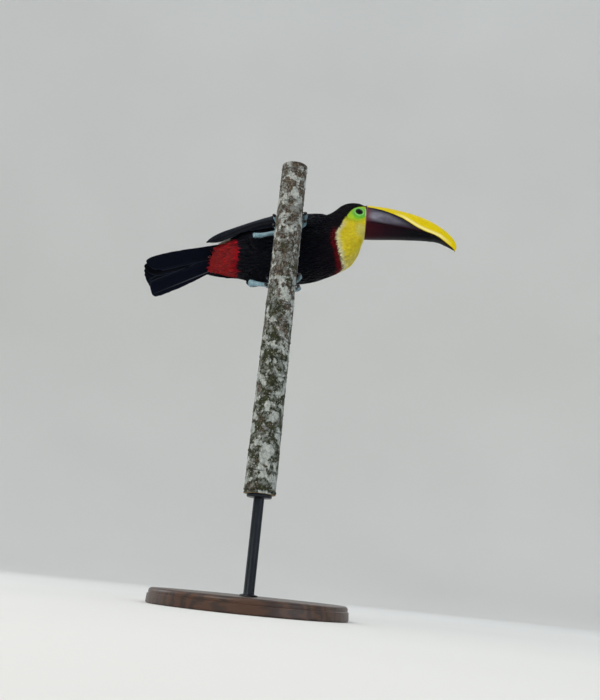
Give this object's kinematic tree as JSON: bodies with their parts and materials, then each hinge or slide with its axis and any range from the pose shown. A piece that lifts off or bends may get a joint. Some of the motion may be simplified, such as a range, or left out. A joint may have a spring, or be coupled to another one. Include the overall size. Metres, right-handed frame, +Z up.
{
  "type": "toucan",
  "caption": "Life-size still toucan with a large curved bill, gripping a short cut length of upright palm stem on a round display stand.",
  "frame": {"origin": "centre of the stand base's underside, on the floor", "axes": "+Z up along the stem; +X towards the bill; the bird clings to the stem's +Y side, so a viewer at -Y sees its right side"},
  "size_m": [0.5171, 0.3, 0.706],
  "materials": {
    "black_plumage": "overlapping vaned feathers, black with a faint blue sheen",
    "bib_plumage": "fine soft feathers, lemon yellow over a cream and dark red edge",
    "white_plumage": "soft white tail coverts",
    "red_plumage": "loose red undertail coverts",
    "eye": "glossy dark brown eye",
    "bill_horn": "smooth horn, yellow ridge over maroon to black sides",
    "leg_scales": "pale blue-grey scutes",
    "claw_horn": "dark polished horn",
    "palm_bark": "ringed palm bark with pale lichen",
    "stand_wood": "dark stained turned wood, satin",
    "stand_steel": "satin black painted steel"
  },
  "bodies": {
    "root": {"stand_base": "stand_wood", "stand_rod": "stand_steel", "stand_flange": "stand_steel", "stem": "palm_bark", "torso": "black_plumage", "neck": "bib_plumage", "head": "black_plumage", "uppertail_coverts": "white_plumage", "undertail_coverts": "red_plumage", "tail": "black_plumage", "right_wing_coverts": "black_plumage", "right_wing_quills": "black_plumage", "left_wing_coverts": "black_plumage", "left_wing_quills": "black_plumage", "right_eye": "eye", "left_eye": "eye", "bill_upper": "bill_horn", "bill_lower": "bill_horn", "right_thigh": "black_plumage", "left_thigh": "black_plumage", "right_tarsus": "leg_scales", "left_tarsus": "leg_scales", "right_foot": "leg_scales", "left_foot": "leg_scales", "right_claw_1": "claw_horn", "right_claw_2": "claw_horn", "right_claw_3": "claw_horn", "right_claw_4": "claw_horn", "left_claw_1": "claw_horn", "left_claw_2": "claw_horn", "left_claw_3": "claw_horn", "left_claw_4": "claw_horn"}
  },
  "joints": []
}
